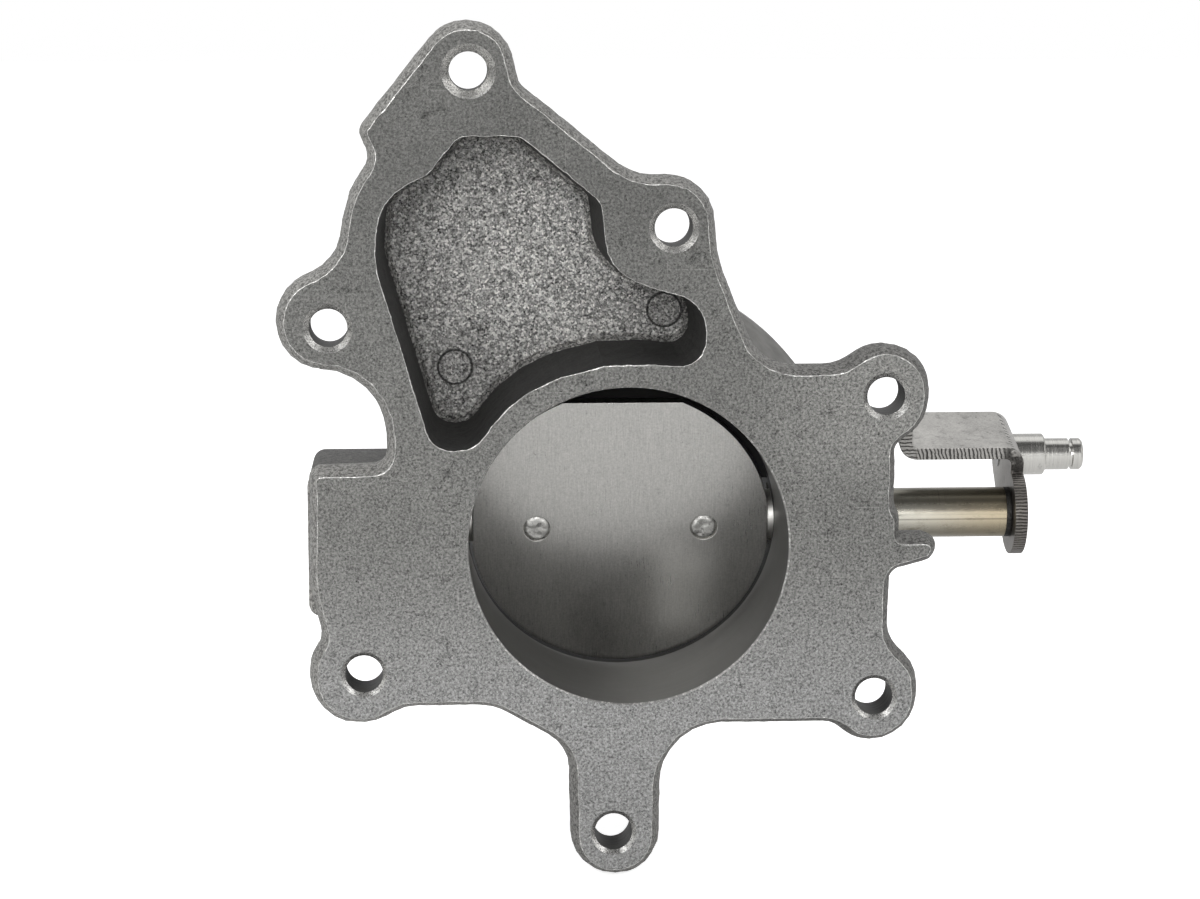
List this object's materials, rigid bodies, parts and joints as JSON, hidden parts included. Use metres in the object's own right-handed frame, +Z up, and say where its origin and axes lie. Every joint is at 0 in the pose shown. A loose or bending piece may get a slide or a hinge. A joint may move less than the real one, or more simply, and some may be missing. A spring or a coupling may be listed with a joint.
{
  "type": "exhaust pipe adapter",
  "caption": "Cast turbine outlet adapter with a machined flange, a butterfly valve in its bore, and a bent lever with an actuator pin on the valve shaft.",
  "frame": {"origin": "centre of the bore on the machined turbine flange face", "axes": "-Y is the outward normal of the turbine flange face, +Y is the way the gas flows, +X runs along the valve shaft towards the lever, +Z is up"},
  "size_m": [0.2026, 0.07, 0.205],
  "materials": {
    "housing_iron": "machined face, rough cast sides",
    "bush_steel": "ground",
    "plug_steel": "pressed sheet",
    "seal_steel": "dark ground",
    "shaft_steel": "polished, olive tint",
    "plate_steel": "fine vertical brushing",
    "rivet_steel": "rough, peened",
    "weld_steel": "dark scale",
    "lever_steel": "satin faces, sheared edges",
    "pin_steel": "bright turned"
  },
  "bodies": {
    "housing": {"housing": "housing_iron", "blind_side_bush": "bush_steel", "thrust_disc": "bush_steel", "blind_side_plug": "plug_steel", "lever_side_bush": "bush_steel", "inner_seal_ring": "seal_steel", "outer_seal_ring": "seal_steel", "seal_ring_keeper": "plug_steel"},
    "valve": {"valve_shaft": "shaft_steel", "butterfly_plate": "plate_steel", "left_plate_rivet": "rivet_steel", "right_plate_rivet": "rivet_steel", "shaft_weld_ring": "weld_steel", "actuator_lever": "lever_steel", "actuator_pin": "pin_steel"}
  },
  "joints": [
    {"name": "valve_turn", "type": "hinge", "parent": "housing", "child": "valve", "pos_m": [0, 0.042, 0], "axis": [1, 0, 0], "range_deg": [0, 74.5]}
  ]
}
